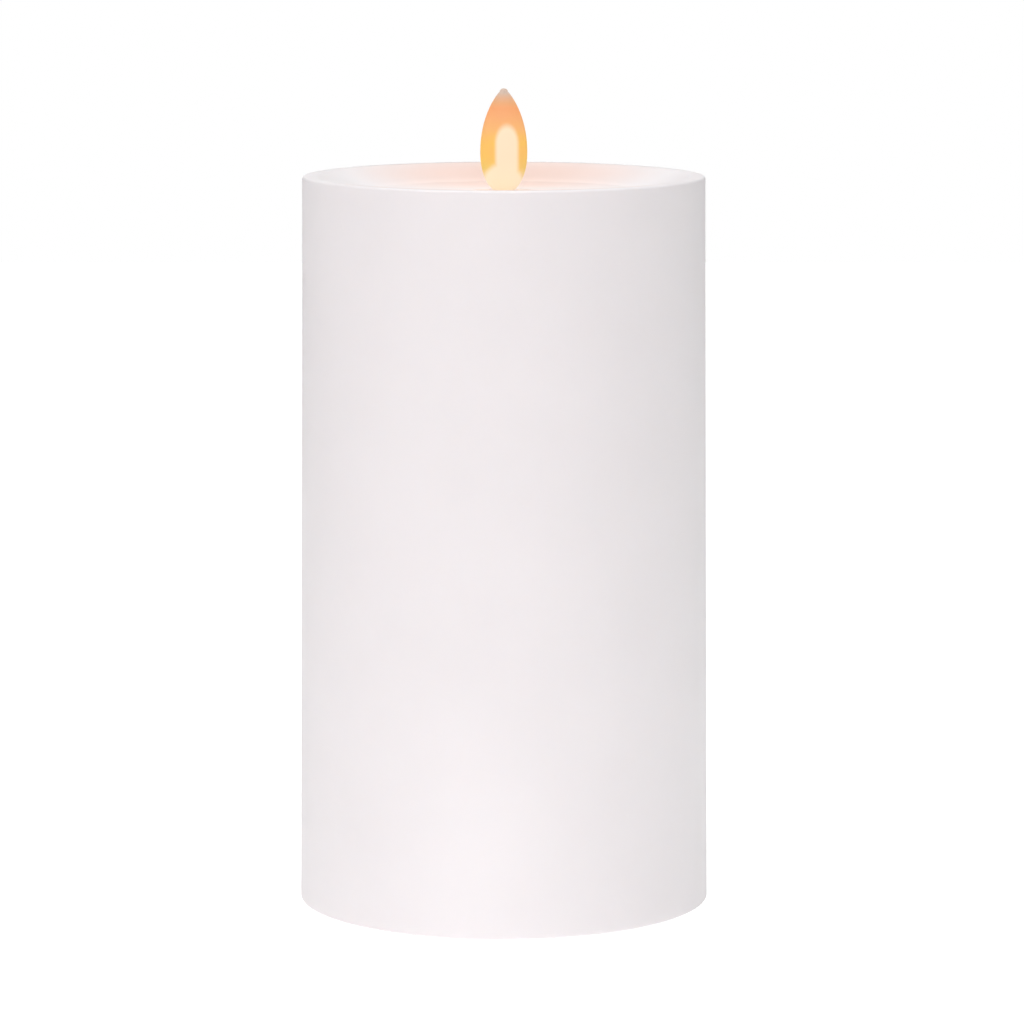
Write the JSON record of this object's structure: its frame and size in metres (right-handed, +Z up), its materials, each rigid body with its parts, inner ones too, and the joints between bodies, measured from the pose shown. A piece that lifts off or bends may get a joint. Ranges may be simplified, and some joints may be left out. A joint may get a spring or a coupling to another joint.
{
  "type": "flameless led candle",
  "caption": "White pillar LED candle with a swinging flame tab above a shallow melt-pool bowl, battery base with a hinged door and a slide switch underneath.",
  "frame": {"origin": "middle of the footprint, on the table under the feet", "axes": "+Z up through the flame, -Y the front that the flame's broad face looks to, +X to the right seen from the front"},
  "size_m": [0.0888, 0.0888, 0.1762],
  "materials": {
    "white_body": "fine matte, slightly waxy white moulding",
    "white_base": "fine-textured white moulding",
    "foot_rubber": "soft grey-white rubber",
    "zinc_steel": "zinc-plated steel",
    "spring_steel": "nickel-plated spring steel",
    "cell_steel": "nickel-plated steel can",
    "cell_sleeve": "printed shrink sleeve",
    "switch_black": "black nylon",
    "phenolic": "brown phenolic with tinned pins",
    "movement_black": "black moulding",
    "collar_white": "white moulding",
    "flame": "translucent warm tab lit by the lamp",
    "magnet_nickel": "nickel-plated magnet",
    "led_lens": "clear epoxy lens, lit warm white",
    "tinned_leads": "tinned wire",
    "bobbin_white": "natural nylon",
    "coil_copper": "enamelled copper wire",
    "board_green": "green solder mask",
    "chip_black": "moulded black package with tinned legs",
    "capacitor_can": "sleeved aluminium can",
    "chip_ceramic": "ceramic chips with tinned ends",
    "connector_white": "natural nylon",
    "wire_black": "black insulation",
    "wire_red": "red insulation",
    "wire_white": "white insulation",
    "wire_yellow": "yellow insulation"
  },
  "bodies": {
    "candle_body": {"outer_shell": "white_body", "base_plate": "white_base", "base_feet": "foot_rubber", "base_screws": "zinc_steel", "battery_left": "cell_steel", "battery_right": "cell_steel", "battery_sleeve_left": "cell_sleeve", "battery_sleeve_right": "cell_sleeve", "positive_contact": "spring_steel", "negative_contact": "spring_steel", "bridge_contact": "spring_steel", "contact_springs": "spring_steel", "switch_frame": "zinc_steel", "switch_insulator": "phenolic", "switch_screws": "zinc_steel", "mech_housing_front": "movement_black", "mech_housing_rear": "movement_black", "housing_screws": "zinc_steel", "ceiling_screws": "zinc_steel", "flame_collar": "collar_white", "led_emitter": "led_lens", "led_leads": "tinned_leads", "led_wires": "wire_red", "coil_bobbin": "bobbin_white", "coil_winding": "coil_copper", "coil_leads": "coil_copper", "driver_board": "board_green", "driver_chip": "chip_black", "board_capacitor": "capacitor_can", "board_resistors": "chip_ceramic", "board_transistors": "chip_black", "board_connector": "connector_white", "board_screws": "zinc_steel", "lead_plug": "connector_white", "lead_negative": "wire_black", "lead_positive": "wire_red", "lead_on": "wire_white", "lead_timer": "wire_yellow"},
    "wire": {"support_wire": "spring_steel"},
    "flame": {"flame_tab": "flame", "flame_magnet": "magnet_nickel"},
    "door": {"battery_door": "white_base", "door_latch": "white_base"},
    "switch": {"switch_knob": "switch_black"}
  },
  "joints": [
    {"name": "wire_roll", "type": "hinge", "parent": "candle_body", "child": "wire", "pos_m": [0, 0, 0.1476], "axis": [0, 1, 0], "range_deg": [-10, 10]},
    {"name": "flame_nod", "type": "hinge", "parent": "wire", "child": "flame", "pos_m": [0, 0, 0.14743], "axis": [1, 0, 0], "range_deg": [-7, 7]},
    {"name": "door_hinge", "type": "hinge", "parent": "candle_body", "child": "door", "pos_m": [0, -0.0294, 0.0029], "axis": [-1, 0, 0], "range_deg": [0, 95], "deforming": ["door_latch"]},
    {"name": "switch_slide", "type": "slide", "parent": "candle_body", "child": "switch", "axis": [0, 1, 0], "range_m": [0, 0.004]}
  ]
}
